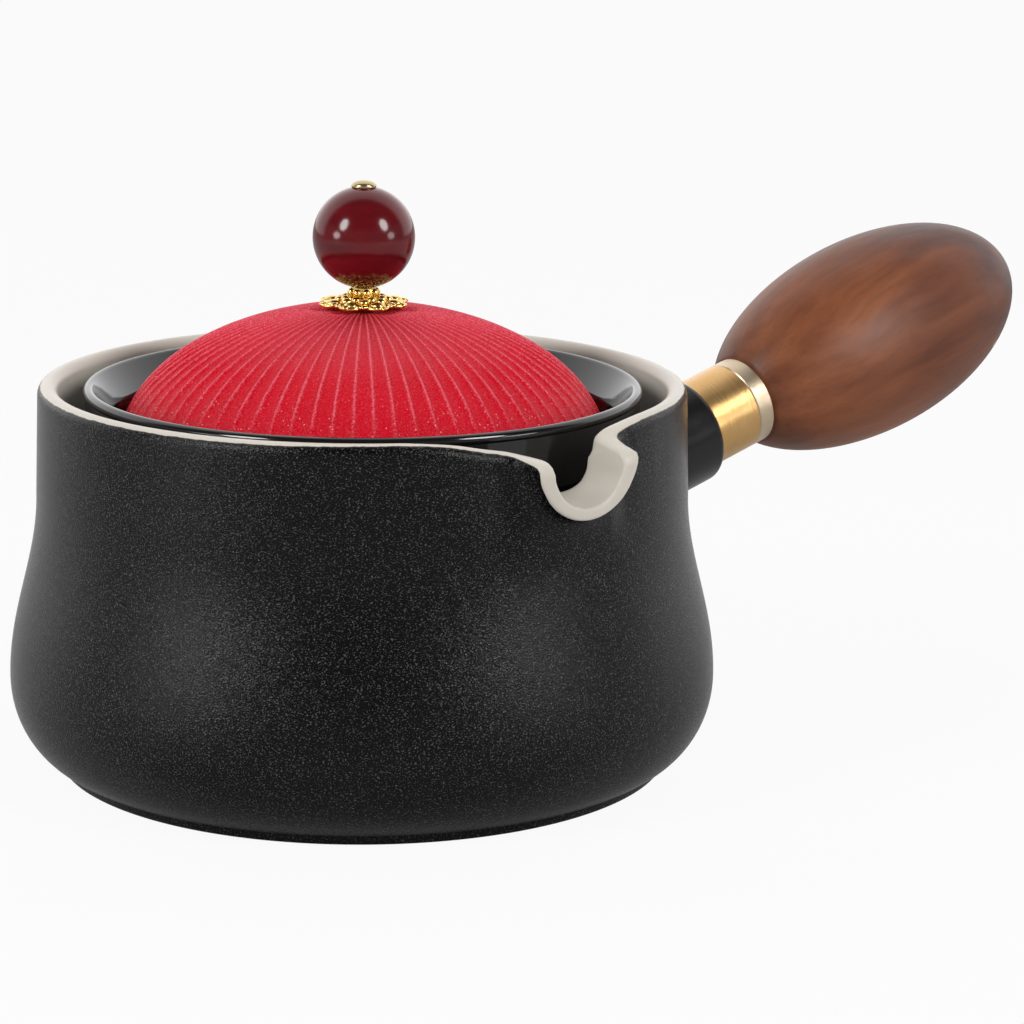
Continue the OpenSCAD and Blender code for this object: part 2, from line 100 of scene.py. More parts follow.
under_start = math.degrees(math.acos((belly_height - under_low) / (belly_height - belly_tuck)))
under_turns = between(under_start, 90, 16)
under_heights = [
    belly_height - (belly_height - belly_tuck) * math.cos(math.radians(a)) for a in under_turns
]
pot_profile = (
    [(0, foot_recess), (floor_ring, foot_recess)]
    + arc(foot_inside - 0.5, foot_recess - foot_round, 0.5, foot_round, 90, 0, 4)
    + arc(foot_inside + foot_round, foot_round, foot_round, foot_round, 180, 270, 4)
    + arc(foot_outside - foot_round, foot_round, foot_round, foot_round, 270, 360, 4)
    + [(pot_radius(z), z) for z in under_heights]
    + [(pot_radius(z), z) for z in between(belly_height, neck_height, 24)[1:]]
    + [(pot_radius(z), z) for z in between(neck_height, rim_seat, 18)[1:-1]]
    + arc(rim_middle, rim_seat, rim_round, rim_round, 0, 180, 16)
    + [(pot_radius(z) - wall, z) for z in between(rim_seat, neck_height, 24)[1:]]
    + [(pot_radius(z) - wall, z) for z in between(neck_height, belly_height, 20)[1:-1]]
    + arc(
        belly_radius - belly_bulge,
        belly_height,
        belly_bulge - wall,
        belly_height - pot_floor,
        0,
        -90,
        10,
    )
    + [(floor_ring, pot_floor), (0, pot_floor)]
)
pot = turned("pot", pot_profile, 600)

# Each point learns how far it lies from the line where black and cream glaze meet: on the rim's
# outer shoulder, higher where the thumb pressed, and at the very edge around the lip. Degrees.
lip_glaze, rim_glaze, thumb_glaze = 6, 41, 16
lip_end, lip_fade, thumb_turn, thumb_width = 10.6, 5.3, -28, 18
glaze_line = pot.data.attributes.new("glaze_line", "FLOAT", "POINT")
for point, mark in zip(pot.data.vertices, glaze_line.data):
    r, z = math.hypot(point.co.x, point.co.y) / mm, point.co.z / mm
    from_spout = math.degrees(math.atan2(point.co.x, -point.co.y))
    run_up = rim_glaze + thumb_glaze * math.exp(-(((from_spout - thumb_turn) / thumb_width) ** 2))
    past_lip = min(1, max(0, (abs(from_spout) - lip_end) / lip_fade))
    glaze_turn = math.radians(lip_glaze + run_up * past_lip)
    outward = r - (pot_radius(z) - rim_round)
    if z > rim_seat - 0.01:
        mark.value = (glaze_turn - math.atan2(z - rim_seat, r - rim_middle)) * rim_round
    elif outward > 0 or z < pot_floor - 0.5:
        mark.value = rim_seat - z + glaze_turn * rim_round
    else:
        mark.value = z - rim_seat - (math.pi - glaze_turn) * rim_round

# The spout is pulled out of the rim. Each row of the guide is a place that the rim's outer and
# inner edge are pulled to (sideways, outwards, up), the angles at which both leave the wall, how
# deep the channel runs there, the height of the crest, and how much lower the thumb pressed the
# rim on the side away from the handle: first around the U of the lip from its lowest point, then
# over its tip and flank to the pinch, then back along the rim.
spout_turn, spout_root, spout_ease, channel_end = math.radians(30), 18.0, 1.94, 0.16
spout_inside, spout_free = 30.0, 4.0
lip_out, lip_crest = 48.55, 0.45
outer_lip, inner_lip = (8.2, 50.5), (5.7, 49.6)
lip_sides = ((-22, 6.0), (0, 6.2), (22, 6.0), (45, 5.3), (68, 4.0), (84, 3.0))
rim_sides = (
    (13.6, 10.5, 50.9, 1.05),
    (17, 14.7, 51.3, 0.95),
    (21, 19.6, 51.55, 0.55),
    (24, 24, 51.6, 0.28),
    (30, 30, 51.6, 0.0),
    (34, 34, 51.6, 0.0),
)


def on_wall(r, turn, z):
    return (r * math.sin(turn), r * math.cos(turn), z)


lip_guide = []
for side, channel in lip_sides:
    turn = math.radians(side)
    edges = [
        (r * math.sin(turn), lip_out, z - r * math.cos(turn)) for r, z in (outer_lip, inner_lip)
    ]
    wall_turns = side / 12.7, 7.6 * math.sin(turn)
    lip_guide.append((*edges[0], *edges[1], *wall_turns, channel, lip_crest, 0))
lip_guide += [
    (8.2, 47.7, 49.9, 5.7, 47.4, 49.8, 7.8, 7.7, 2.6, 0.7, 0),
    (8.35, 46.0, 50.2, 5.75, 45.2, 50.1, 9.2, 7.9, 2.6, 0.75, 0.2),
    (8.9, 44.2, 50.5, 6.3, 42.0, 50.4, 11.0, 8.5, 3.0, 1.1, 0.7),
]
for out_turn, in_turn, z, pressed in rim_sides:
    outer = on_wall(rim_middle + rim_round, math.radians(out_turn), z)
    inner = on_wall(rim_middle - rim_round, math.radians(in_turn), z)
    lip_guide.append((*outer, *inner, out_turn, in_turn, 5.0, rim_round, pressed))
lip_guide = np.array(lip_guide)

# A smooth curve through the guide, with its run along the rim and its direction there.
share = np.linspace(0, 1, 16, endpoint=False)[:, None]
lip_rows = []
for before, a, b, after in zip(lip_guide, lip_guide[1:], lip_guide[2:], lip_guide[3:]):
    leave, arrive = (b - before) / 2, (after - a) / 2
    curve = a + leave * share + (3 * (b - a) - 2 * leave - arrive) * share**2
    lip_rows.append(curve + (2 * (a - b) + leave + arrive) * share**3)
lip_rows = np.vstack(lip_rows + [lip_guide[-2]])
middle = (lip_rows[:, 0:3] + lip_rows[:, 3:6]) / 2
lip_run = np.append(0, np.cumsum(np.linalg.norm(np.diff(middle, axis=0), axis=1)))
lip_rows = np.hstack([lip_rows, np.gradient(middle, lip_run, axis=0)])


def smooth_step(low, high, value):
    share = min(1, max(0, (value - low) / (high - low)))
    return share * share * (3 - 2 * share)


def eased(share):
    """A straight run down to nothing, with its end rounded off."""
    return (share + math.hypot(share, channel_end)) / (1 + math.hypot(1, channel_end))


for point in pot.data.vertices:
    x, out, z = point.co.x / mm, -point.co.y / mm, point.co.z / mm
    turn, r, depth = math.atan2(x, out), math.hypot(x, out), rim_seat - z
    if abs(turn) >= spout_turn or depth >= spout_root or r < spout_inside:
        continue
    run = abs(turn) / spout_turn * lip_run[-1]
    row = [np.interp(run, lip_run, column) for column in lip_rows.T]
    outer, inner, along = Vector(row[0:3]), Vector(row[3:6]), Vector(row[11:14])
    if turn < 0:
        outer.z, inner.z = outer.z - row[10], inner.z - row[10]
    if depth < 0.001:
        across = (outer - inner) / 2
        upward = across.cross(along).normalized()
        upward *= math.copysign(row[9], upward.y + upward.z)
        around = math.atan2(z - rim_seat, r - rim_middle)
        blunt = 0.5 + 0.5 * min(1, row[9] / rim_round)
        level = math.copysign(abs(math.cos(around)) ** blunt, math.cos(around))
        place = (outer + inner) / 2 + across * level + upward * max(0, math.sin(around)) ** blunt
    else:
        outside = r > pot_radius(z) - rim_round
        edge, edge_turn = (outer, row[6]) if outside else (inner, row[7])
        rim_r = rim_middle + (rim_round if outside else -rim_round)
        ease = (1 - depth / spout_root) ** spout_ease if outside else eased(1 - depth / row[8])
        edge_turn = math.radians(edge_turn)
        wall_turn = abs(turn) + (edge_turn - abs(turn)) * smooth_step(spout_root, spout_free, depth)
        pull = edge - Vector(on_wall(rim_r, edge_turn, rim_seat))
        place = Vector(on_wall(r, wall_turn, z)) + pull * ease
    point.co = Vector((math.copysign(place.x, turn), -place.y, place.z)) * mm


def paint(red, green, blue):
    """A colour as it is seen, 0 to 255, turned into the light that a shader works in."""
    seen = (red / 255, green / 255, blue / 255)
    return tuple(c / 12.92 if c <= 0.04045 else ((c + 0.055) / 1.055) ** 2.4 for c in seen) + (1.0,)


def new_finish(name, **sockets):
    """A material and its shader, with the plain values on the shader's own sockets."""
    material = bpy.data.materials.new(name)
    material.use_nodes = True
    shader = material.node_tree.nodes["Principled BSDF"]
    for socket, value in sockets.items():
        shader.inputs[socket.replace("_", " ")].default_value = value
    return material, shader


def add(material, kind, settings=None, **sockets):
    """A node with its settings; each socket gets a plain value or a link from another node."""
    made = material.node_tree.nodes.new("ShaderNode" + kind)
    for key, value in (settings or {}).items():
        setattr(made, key, value)
    for key, value in sockets.items():
        socket = made.inputs[int(key[1:]) if key[1:].isdigit() else key.replace("_", " ")]
        if isinstance(value, bpy.types.NodeSocket):
            material.node_tree.links.new(value, socket)
        else:
            socket.default_value = value
    return made


def maths(material, operation, *values):
    sockets = {f"_{i}": value for i, value in enumerate(values)}
    return add(material, "Math", {"operation": operation}, **sockets).outputs[0]


def spread(material, value, low, high, to_low=0.0, to_high=1.0):
    """A value stretched from one span to another and held at the ends."""
    sockets = {"From_Min": low, "From_Max": high, "To_Min": to_low, "To_Max": to_high}
    return add(material, "MapRange", Value=value, **sockets).outputs[0]


def blended(material, share, first, second):
    """A colour between two others."""
    return add(material, "Mix", {"data_type": "RGBA"}, _0=share, _6=first, _7=second).outputs[2]


def cloudy(material, place, scale, detail=3):
    return add(material, "TexNoise", Vector=place, Scale=scale, Detail=detail).outputs["Fac"]


def bumped(material, height, strength, depth):
    return add(
        material, "Bump", Strength=strength, Distance=depth * mm, Height=height
    ).outputs[0]


def specks(material, place, scale, size, share):
    """Small round grains, of which only a share of the cells holds one."""
    cells = add(material, "TexVoronoi", Vector=place, Scale=scale)
    round_spot = spread(material, cells.outputs["Distance"], size, size * 0.4)
    lot = add(material, "SeparateColor", Color=cells.outputs["Color"]).outputs[0]
    return maths(material, "MULTIPLY", round_spot, maths(material, "LESS_THAN", lot, share))


def connect(material, shader, **sockets):
    for socket, source in sockets.items():
        material.node_tree.links.new(source, shader.inputs[socket.replace("_", " ")])


pot_glaze, shader = new_finish("pot_glaze", Specular_IOR_Level=0.18)
place = add(pot_glaze, "TexCoord").outputs["Object"]
line = add(pot_glaze, "Attribute", {"attribute_name": "glaze_line"}).outputs["Fac"]
edge = maths(pot_glaze, "MULTIPLY_ADD", cloudy(pot_glaze, place, 900), 0.3, line)
black_share = spread(pot_glaze, edge, 0.1, 0.2)
drift = cloudy(pot_glaze, place, 70, 4)
flattened = add(pot_glaze, "Mapping", Vector=place, Scale=(1, 1, 1.35)).outputs[0]
peel = cloudy(pot_glaze, flattened, 4200, 1)
black = blended(pot_glaze, drift, paint(3, 3, 4), paint(7, 7, 8))
# Painted glints: the pale grain of the peel in the colour is partly the glaze's own texture and
# partly painted glints, and the pale specks over it are painted glints.
black = blended(pot_glaze, spread(pot_glaze, peel, 0.57, 0.8), black, paint(84, 84, 87))
painted_sparkle = maths(pot_glaze, "MULTIPLY", specks(pot_glaze, place, 1500, 0.17, 0.1), 0.5)
black = blended(pot_glaze, painted_sparkle, black, paint(130, 130, 132))
black = blended(pot_glaze, spread(pot_glaze, edge, 0.15, 0.5), paint(50, 45, 41), black)
cream = blended(pot_glaze, drift, paint(186, 179, 168), paint(204, 197, 187))
connect(
    pot_glaze,
    shader,
    Base_Color=blended(pot_glaze, black_share, cream, black),
    Roughness=spread(pot_glaze, black_share, 0, 1, 0.3, 0.17),
    Normal=bumped(pot_glaze, maths(pot_glaze, "MULTIPLY", peel, black_share), 1.0, 0.09),
)
pot.data.materials.append(pot_glaze)
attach(pot, "pot")
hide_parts("pot_body")

# Handle stub: a hollow boss of the same clay, luted to the side of the pot a quarter turn from
# the spout, and glazed smoother than the wall. Its root spreads onto the wall in a fillet.
handle_height, handle_tilt = 21.5, math.radians(16.2)
stub_radius, stub_end, stub_edge, root_fillet = 8.1, 62.9, 1.3, 3.0
bush_hole, bush_depth = 4.65, 10.0
along_handle = Matrix.Translation((0, 0, handle_height * mm)) @ Matrix.Rotation(
    math.pi / 2 - handle_tilt, 4, "Y"
)


def wall_reach(beside, below):
    """How far out a line beside the handle's axis meets the pot's wall, in mm."""
    near, far = 36.0, 62.0
    for _ in range(40):
        middle = (near + far) / 2
        x, y, z = (along_handle @ (Vector((below, beside, middle)) * mm)) / mm
        near, far = (middle, far) if math.hypot(x, y) < pot_radius(z) else (near, middle)
    return near


stub_profile = (
    arc(stub_radius + root_fillet, root_fillet, root_fillet, root_fillet, 270, 180, 8)
    + arc(stub_radius - stub_edge, stub_end - stub_edge, stub_edge, stub_edge, 0, 90, 8)
    + [(bush_hole, stub_end), (bush_hole, stub_end - bush_depth)]
)
stub = turned("handle_stub", stub_profile, 128)
for point in stub.data.vertices:
    below, beside, z = point.co / mm
    if z < root_fillet + 0.1:
        z += wall_reach(beside, below) - 0.05
    point.co = along_handle @ (Vector((below, beside, z)) * mm)

boss_glaze, shader = new_finish("boss_glaze", Specular_IOR_Level=0.32)
place = add(boss_glaze, "TexCoord").outputs["Object"]
drift = cloudy(boss_glaze, place, 140, 4)
connect(
    boss_glaze,
    shader,
    Base_Color=blended(boss_glaze, drift, paint(13, 13, 13), paint(20, 19, 19)),
    Roughness=spread(boss_glaze, drift, 0.3, 0.7, 0.22, 0.3),
    Normal=bumped(boss_glaze, cloudy(boss_glaze, place, 1300, 3), 0.2, 0.12),
)
stub.data.materials.append(boss_glaze)
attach(stub, "pot")
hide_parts("pot_body")

# Bush and stud: a brass bush cemented into the stub, and the steel stud that draws grip, ring
# and sleeve up against it. Both are hidden once the handle is on, and stay as they were cut.
for node, dark, light, rough in (
    ("socket_bush", paint(150, 118, 62), paint(184, 148, 84), 0.35),
    ("handle_stud", paint(120, 121, 124), paint(160, 161, 164), 0.3),
):
    cut_metal, shader = new_finish(node + "_metal", Metallic=1.0, Roughness=rough)
    place = add(cut_metal, "TexCoord").outputs["Object"]
    streak = cloudy(cut_metal, place, 900, 4)
    connect(cut_metal, shader, Base_Color=blended(cut_metal, streak, dark, light))
    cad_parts[node].data.materials.clear()
    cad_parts[node].data.materials.append(cut_metal)

# Ferrule: a turned brass sleeve against the stub and a pale champagne ring against the wood,
# parted by a fine groove. Both carry the rings that the lathe's tool left around them.


def handle_coordinates(material):
    """Object coordinates laid along the handle, so that Z runs with its axis."""
    return add(
        material,
        "Mapping",
        {"vector_type": "TEXTURE"},
        Vector=add(material, "TexCoord").outputs["Object"],
        Location=(0, 0, handle_height * mm),
        Rotation=(0, math.pi / 2 - handle_tilt, 0),
    ).outputs[0]


for node, dark, light, rough in (
    ("ferrule_sleeve", paint(198, 155, 98), paint(218, 177, 120), 0.27),
    ("ferrule_ring", paint(196, 176, 148), paint(216, 198, 172), 0.34),
):
    turned_metal, shader = new_finish(node + "_metal", Metallic=1.0)
    place = handle_coordinates(turned_metal)
    around = add(turned_metal, "Mapping", Vector=place, Scale=(1, 1, 18000)).outputs[0]
    rings = cloudy(turned_metal, around, 1)
    connect(
        turned_metal,
        shader,
        Base_Color=blended(turned_metal, cloudy(turned_metal, place, 260), dark, light),
        Roughness=spread(turned_metal, rings, 0.3, 0.7, rough - 0.05, rough + 0.08),
        Normal=bumped(turned_metal, rings, 0.4, 0.06),
    )
    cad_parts[node].data.materials.clear()
    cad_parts[node].data.materials.append(turned_metal)

# Grip: an egg of walnut turned on a lathe, sanded smooth and oiled to a satin sheen. Its grain
# runs along the handle, and a tenon on its near end goes through ring and sleeve.
ring_end, grip_radius, grip_length, grip_widest = 74.05, 15.0, 56.0, 26.8
ferrule_radius, tenon_radius = 6.7, 5.45
near_turn = math.degrees(math.asin(ferrule_radius / grip_radius))
near_half = grip_widest / math.cos(math.radians(near_turn))
widest = ring_end + grip_widest
grip_profile = (
    [(0, stub_end + 0.2), (tenon_radius, stub_end + 0.2), (tenon_radius, ring_end)]
    + [(r, z) for z, r in arc(widest, 0, -near_half, grip_radius, near_turn, 90, 26)]
    + arc(0, widest, grip_radius, grip_length - grip_widest, 0, 90, 30)[1:]
)
grip = turned("grip", grip_profile, 160)
grip.data.transform(along_handle)

walnut, shader = new_finish("walnut", Specular_IOR_Level=0.28)
place = handle_coordinates(walnut)
bent = add(walnut, "TexNoise", Vector=place, Scale=35, Detail=2).outputs["Color"]
wavy = add(
    walnut, "VectorMath", {"operation": "MULTIPLY_ADD"}, _0=bent, _1=(0.008, 0.008, 0.02), _2=place
).outputs[0]
figure = cloudy(walnut, add(walnut, "Mapping", Vector=wavy, Scale=(300, 300, 14)).outputs[0], 1, 4)
pores = cloudy(walnut, add(walnut, "Mapping", Vector=wavy, Scale=(1900, 1900, 80)).outputs[0], 1)
patch = cloudy(walnut, place, 30, 2)
along = add(walnut, "SeparateXYZ", Vector=place).outputs["Z"]
tone = maths(walnut, "MULTIPLY_ADD", patch, 0.6, maths(walnut, "MULTIPLY", figure, 0.45))
# Painted shade: the grip is darkened towards both ends, so that its middle stays lighter.
tone = maths(walnut, "SUBTRACT", tone, spread(walnut, along, 0.088, 0.122, 0, 0.36))
tone = maths(walnut, "SUBTRACT", tone, spread(walnut, along, 0.075, 0.092, 0.16, 0))
wood = blended(walnut, spread(walnut, tone, 0.2, 0.72), paint(70, 33, 23), paint(158, 94, 58))
pore_share = maths(walnut, "MULTIPLY", spread(walnut, pores, 0.5, 0.75), 0.22)
wood = blended(walnut, pore_share, wood, paint(62, 35, 27))
stretched = add(walnut, "Mapping", Vector=place, Scale=(1, 1, 0.5)).outputs[0]
wood = blended(walnut, specks(walnut, stretched, 150, 0.1, 0.06), wood, paint(196, 164, 130))
worked = maths(walnut, "MULTIPLY_ADD", figure, 0.25, cloudy(walnut, stretched, 130, 2))
connect(
    walnut,
    shader,
    Base_Color=wood,
    Roughness=spread(walnut, figure, 0.3, 0.7, 0.4, 0.48),
    Normal=bumped(walnut, worked, 0.35, 1.2),
)
grip.data.materials.append(walnut)
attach(grip, "pot")
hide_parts("handle_grip")

# Infuser: a cup of thin stoneware in glossy black glaze, with a rolled lip, a ledge for the lid
# and filter holes below. It stands loose in the pot. The cut solid is copied and merged; its
# collar is turned anew, because the glaze has filled the corner below the lip to a wide flare.
seat_height, collar_outside, collar_low, collar_inside = 45.2, 38.1, 44.25, 34.55
lip_middle, lip_round, lip_crown, lip_foot = 37.65, 0.75, 51.85, 51.2
flare = math.radians(34)
bpy.ops.object.select_all(action="DESELECT")
bpy.ops.mesh.primitive_plane_add(size=mm)
infuser = bpy.context.object
infuser.name = "infuser_cup_glazed"
infuser.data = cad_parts["infuser"].data.copy()
bpy.ops.object.mode_set(mode="EDIT")
bpy.ops.mesh.select_all(action="SELECT")
bpy.ops.mesh.customdata_custom_splitnormals_clear()
bpy.ops.mesh.remove_doubles(threshold=0.002 * mm)
bpy.ops.mesh.select_all(action="DESELECT")
bpy.ops.object.mode_set(mode="OBJECT")
for face in infuser.data.polygons:
    face.select = face.center.z > (seat_height + 0.05) * mm
bpy.ops.object.mode_set(mode="EDIT")
bpy.ops.mesh.select_mode(type="FACE")
bpy.ops.mesh.delete(type="FACE")
bpy.ops.mesh.select_mode(type="EDGE")
bpy.ops.mesh.select_non_manifold()
bpy.ops.mesh.bridge_edge_loops()
bpy.ops.mesh.select_mode(type="VERT")
bpy.ops.object.mode_set(mode="OBJECT")
lip_curve = arc(lip_middle, lip_crown, lip_round, lip_round, -53, 180 - math.degrees(flare), 20)
flare_r, flare_top = lip_curve[-1]
flare_low = flare_top - (flare_r - collar_inside) / math.tan(flare)
flare_line = [
    (collar_inside + (flare_r - collar_inside) * part, flare_low + (flare_top - flare_low) * part)
    for part in (0.75, 0.5, 0.25, 0.08)
]
collar_profile = (
    [(collar_outside, z) for z in between(collar_low, lip_foot, 6)]
    + lip_curve
    + flare_line
    + [(collar_inside, flare_low - 0.3), (collar_inside, seat_height - 0.2), (36.5, 44.6)]
    + [(collar_outside, collar_low)]
)
turned("infuser_collar", collar_profile, 256)
infuser.select_set(True)
bpy.context.view_layer.objects.active = infuser
bpy.ops.object.join()
bpy.ops.object.shade_smooth_by_angle(angle=math.radians(35))

gloss_glaze, shader = new_finish("gloss_glaze", Specular_IOR_Level=0.5)
place = add(gloss_glaze, "TexCoord").outputs["Object"]
pool = cloudy(gloss_glaze, place, 120, 2)
connect(
    gloss_glaze,
    shader,
    Base_Color=blended(gloss_glaze, pool, paint(9, 9, 10), paint(16, 16, 17)),
    Roughness=spread(gloss_glaze, pool, 0.3, 0.7, 0.07, 0.12),
    Normal=bumped(gloss_glaze, pool, 0.05, 0.2),
)
infuser.data.materials.clear()
infuser.data.materials.append(gloss_glaze)
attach(infuser, "infuser_cup")
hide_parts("infuser")

# Lid: a dome of stoneware pressed in a ribbed mould, in sanded red glaze, paler on the ridges,
# with a painted sheen that pales it towards the top and painted glints low down. One strip with
# its ridge is shaped and copied around; the underside is turned.
dome_middle, dome_rise, dome_half = 42.8, 20.3, 33.89
ridges, ridge_height, ridge_share, strip_parts, dome_parts = 70, 0.35, 0.42, 14, 30
skirt_outside, skirt_inside, skirt_bottom, dome_hollow = 31.7, 29.5, 41.7, 17.7
pad_radius, pad_bottom, pin_hole = 4.0, 60.1, 1.1
bare_radius, ridge_radius = 3, 7
low_turn = math.asin((seat_height - dome_middle) / dome_rise)
high_turn = math.acos(pin_hole / dome_half)


def dome_height(r):
    return dome_middle + dome_rise * math.sqrt(1 - (r / dome_half) ** 2)


bpy.ops.object.select_all(action="DESELECT")
bpy.ops.mesh.primitive_grid_add(x_subdivisions=strip_parts, y_subdivisions=dome_parts, size=1)
lid = bpy.context.object
lid.name = "lid_ribbed"
ridge_line = lid.data.attributes.new("ridge_line", "FLOAT", "POINT")
for point, mark in zip(lid.data.vertices, ridge_line.data):
    across, along = point.co.x, point.co.y + 0.5
    rise = low_turn + (high_turn - low_turn) * along
    r, z = dome_half * math.cos(rise), dome_rise * math.sin(rise)
    slope = Vector((dome_rise * math.cos(rise), dome_half * math.sin(rise))).normalized()
    ridge = math.cos(math.pi * min(0.5, abs(across) / ridge_share)) ** 2
    ridge *= smooth_step(bare_radius, ridge_radius, r) * smooth_step(0, 0.04, along)
    ridge *= 0.5 + 0.5 * smooth_step(0.1, 0.4, along)
    r, z = r + slope.x * ridge * ridge_height, z + slope.y * ridge * ridge_height
    turn = across * math.tau / ridges
    point.co = Vector((r * math.cos(turn), r * math.sin(turn), dome_middle + z)) * mm
    mark.value = ridge
bpy.ops.object.mode_set(mode="EDIT")
bpy.ops.mesh.select_all(action="SELECT")
bpy.ops.mesh.spin(
    steps=ridges - 1,
    angle=math.tau * (ridges - 1) / ridges,
    dupli=True,
    center=(0, 0, 0),
    axis=(0, 0, 1),
)
bpy.ops.object.mode_set(mode="OBJECT")
under_profile = (
    [(dome_half * math.cos(low_turn), seat_height), (skirt_outside, seat_height)]
    + arc(skirt_outside - 0.3, skirt_bottom + 0.3, 0.3, 0.3, 0, -90, 3)
    + arc(skirt_inside + 0.3, skirt_bottom + 0.3, 0.3, 0.3, 270, 180, 3)
    + arc(0, dome_middle, skirt_inside, dome_hollow, math.degrees(low_turn), 80, 16)
    + [(pad_radius, pad_bottom), (pin_hole, pad_bottom), (pin_hole, dome_height(pin_hole))]
)
lid_under = turned("lid_under", under_profile, ridges * strip_parts)
lid_under.data.attributes.new("ridge_line", "FLOAT", "POINT")
lid.select_set(True)
bpy.context.view_layer.objects.active = lid
bpy.ops.object.join()
bpy.ops.object.mode_set(mode="EDIT")
bpy.ops.mesh.select_all(action="SELECT")
bpy.ops.mesh.remove_doubles(threshold=0.002 * mm)
bpy.ops.mesh.normals_make_consistent(inside=False)
bpy.ops.object.mode_set(mode="OBJECT")
bpy.ops.object.shade_smooth_by_angle(angle=math.radians(50))

red_glaze, shader = new_finish("red_glaze", Specular_IOR_Level=0.14)
place = add(red_glaze, "TexCoord").outputs["Object"]
ridge = add(red_glaze, "Attribute", {"attribute_name": "ridge_line"}).outputs["Fac"]
sand = cloudy(red_glaze, place, 4000, 1)
drift = cloudy(red_glaze, place, 160, 3)
red = blended(red_glaze, drift, paint(188, 0, 24), paint(204, 0, 34))
height = add(red_glaze, "SeparateXYZ", Vector=place).outputs["Z"]
# Painted sheen: the red pales towards the top of the dome.
red = blended(red_glaze, spread(red_glaze, height, 0.057, 0.0635, 0, 0.5), red, paint(222, 88, 102))
crest = maths(red_glaze, "MULTIPLY", maths(red_glaze, "POWER", ridge, 2.2), 0.5)
grains = maths(red_glaze, "ADD", crest, sand)
worn = maths(red_glaze, "MULTIPLY", spread(red_glaze, grains, 0.6, 1.04), 0.6)
red = blended(red_glaze, worn, red, paint(240, 120, 138))
# Painted glints: pale specks, most of them low on the dome.
painted_glint = specks(red_glaze, place, 1900, 0.24, 0.3)
painted_glint = maths(red_glaze, "MULTIPLY", painted_glint, spread(red_glaze, height, 0.049, 0.056, 1, 0.15))
red = blended(red_glaze, maths(red_glaze, "MULTIPLY", painted_glint, 0.85), red, paint(255, 214, 210))
connect(
    red_glaze,
    shader,
    Base_Color=red,
    Roughness=spread(red_glaze, sand, 0.3, 0.7, 0.24, 0.36),
    Normal=bumped(red_glaze, sand, 1.0, 0.2),
)
lid.data.materials.append(red_glaze)
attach(lid, "lid_with_knob")
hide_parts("lid")

# Flower cap: gilt filigree under the bead. Each of its eight petals is a loop of wire with
# grains of gold soldered on. One petal is modelled and copied around, bent over the dome.
petals, petal_out, wire = 8, 4.55, 0.24
cap_floor = 63.2


def grain_of_gold(r, turn, z, size, flat=1.0):
    """A small round grain, pressed flat if need be, added to the piece that is being edited."""
    middle = Vector((r * math.cos(turn), r * math.sin(turn), z)) * mm
    bpy.ops.mesh.primitive_ico_sphere_add(subdivisions=2, radius=size * mm, location=middle)
    bpy.ops.transform.resize(value=(1, 1, flat), center_override=middle)


def copied_around(count):
    bpy.ops.mesh.select_all(action="SELECT")
    bpy.ops.mesh.spin(
        steps=count - 1,
        angle=math.tau * (count - 1) / count,
        dupli=True,
        center=(0, 0, 0),
        axis=(0, 0, 1),
    )


bpy.ops.object.select_all(action="DESELECT")
bpy.ops.mesh.primitive_torus_add(
    major_radius=1.5 * mm,
    minor_radius=wire * mm,
    major_segments=28,
    minor_segments=8,
    location=(petal_out * mm, 0, (cap_floor + wire) * mm),
)
flower = bpy.context.object
flower.name = "flower_filigree"
bpy.ops.object.transform_apply(location=True)
bpy.ops.object.mode_set(mode="EDIT")
bpy.ops.mesh.select_all(action="SELECT")
bpy.ops.transform.resize(
    value=(1, 0.98, 1), center_override=(petal_out * mm, 0, (cap_floor + wire) * mm)
)
grain_of_gold(petal_out + 0.1, 0.03, cap_floor + 0.48, 1.1, 0.45)
grain_of_gold(petal_out + 1.3, -0.05, cap_floor + 0.36, 0.62, 0.55)
grain_of_gold(petal_out + 0.6, 0.25, cap_floor + 0.4, 0.6, 0.6)
grain_of_gold(petal_out + 0.4, -0.26, cap_floor + 0.38, 0.55, 0.6)
grain_of_gold(5.0, math.pi / petals, cap_floor + 0.34, 0.5, 0.6)
grain_of_gold(3.3, math.pi / petals, cap_floor + 0.66, 0.8, 0.6)
grain_of_gold(2.7, 0, cap_floor + 0.85, 0.72, 0.7)
copied_around(petals)
bpy.ops.object.mode_set(mode="OBJECT")
for point in flower.data.vertices:
    r = math.hypot(point.co.x, point.co.y) / mm
    point.co.z += (0.4 - 0.4 * (dome_height(0) - dome_height(min(r, 8)))) * mm
flower.data.transform(Matrix.Rotation(math.radians(-13.5), 4, "Z"))
bpy.ops.object.select_all(action="DESELECT")
turned(
    "cap_plate",
    [(pin_hole, cap_floor), (3.6, cap_floor - 0.1), (3.7, cap_floor + 0.2), (2.6, cap_floor + 0.55)]
    + [(pin_hole, cap_floor + 0.6), (pin_hole, cap_floor)],
    48,
)
flower.select_set(True)
bpy.context.view_layer.objects.active = flower
bpy.ops.object.join()
bpy.ops.object.shade_smooth_by_angle(angle=math.radians(60))

gilt, shader = new_finish("gilt", Metallic=1.0)
place = add(gilt, "TexCoord").outputs["Object"]
drift = cloudy(gilt, place, 900)
connect(
    gilt,
    shader,
    Base_Color=blended(gilt, drift, paint(222, 176, 88), paint(252, 224, 148)),
    Roughness=spread(gilt, drift, 0.3, 0.7, 0.2, 0.32),
    Normal=bumped(gilt, cloudy(gilt, place, 1500), 0.15, 0.2),
)
flower.data.materials.append(gilt)
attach(flower, "lid_with_knob")
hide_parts("flower_cap")

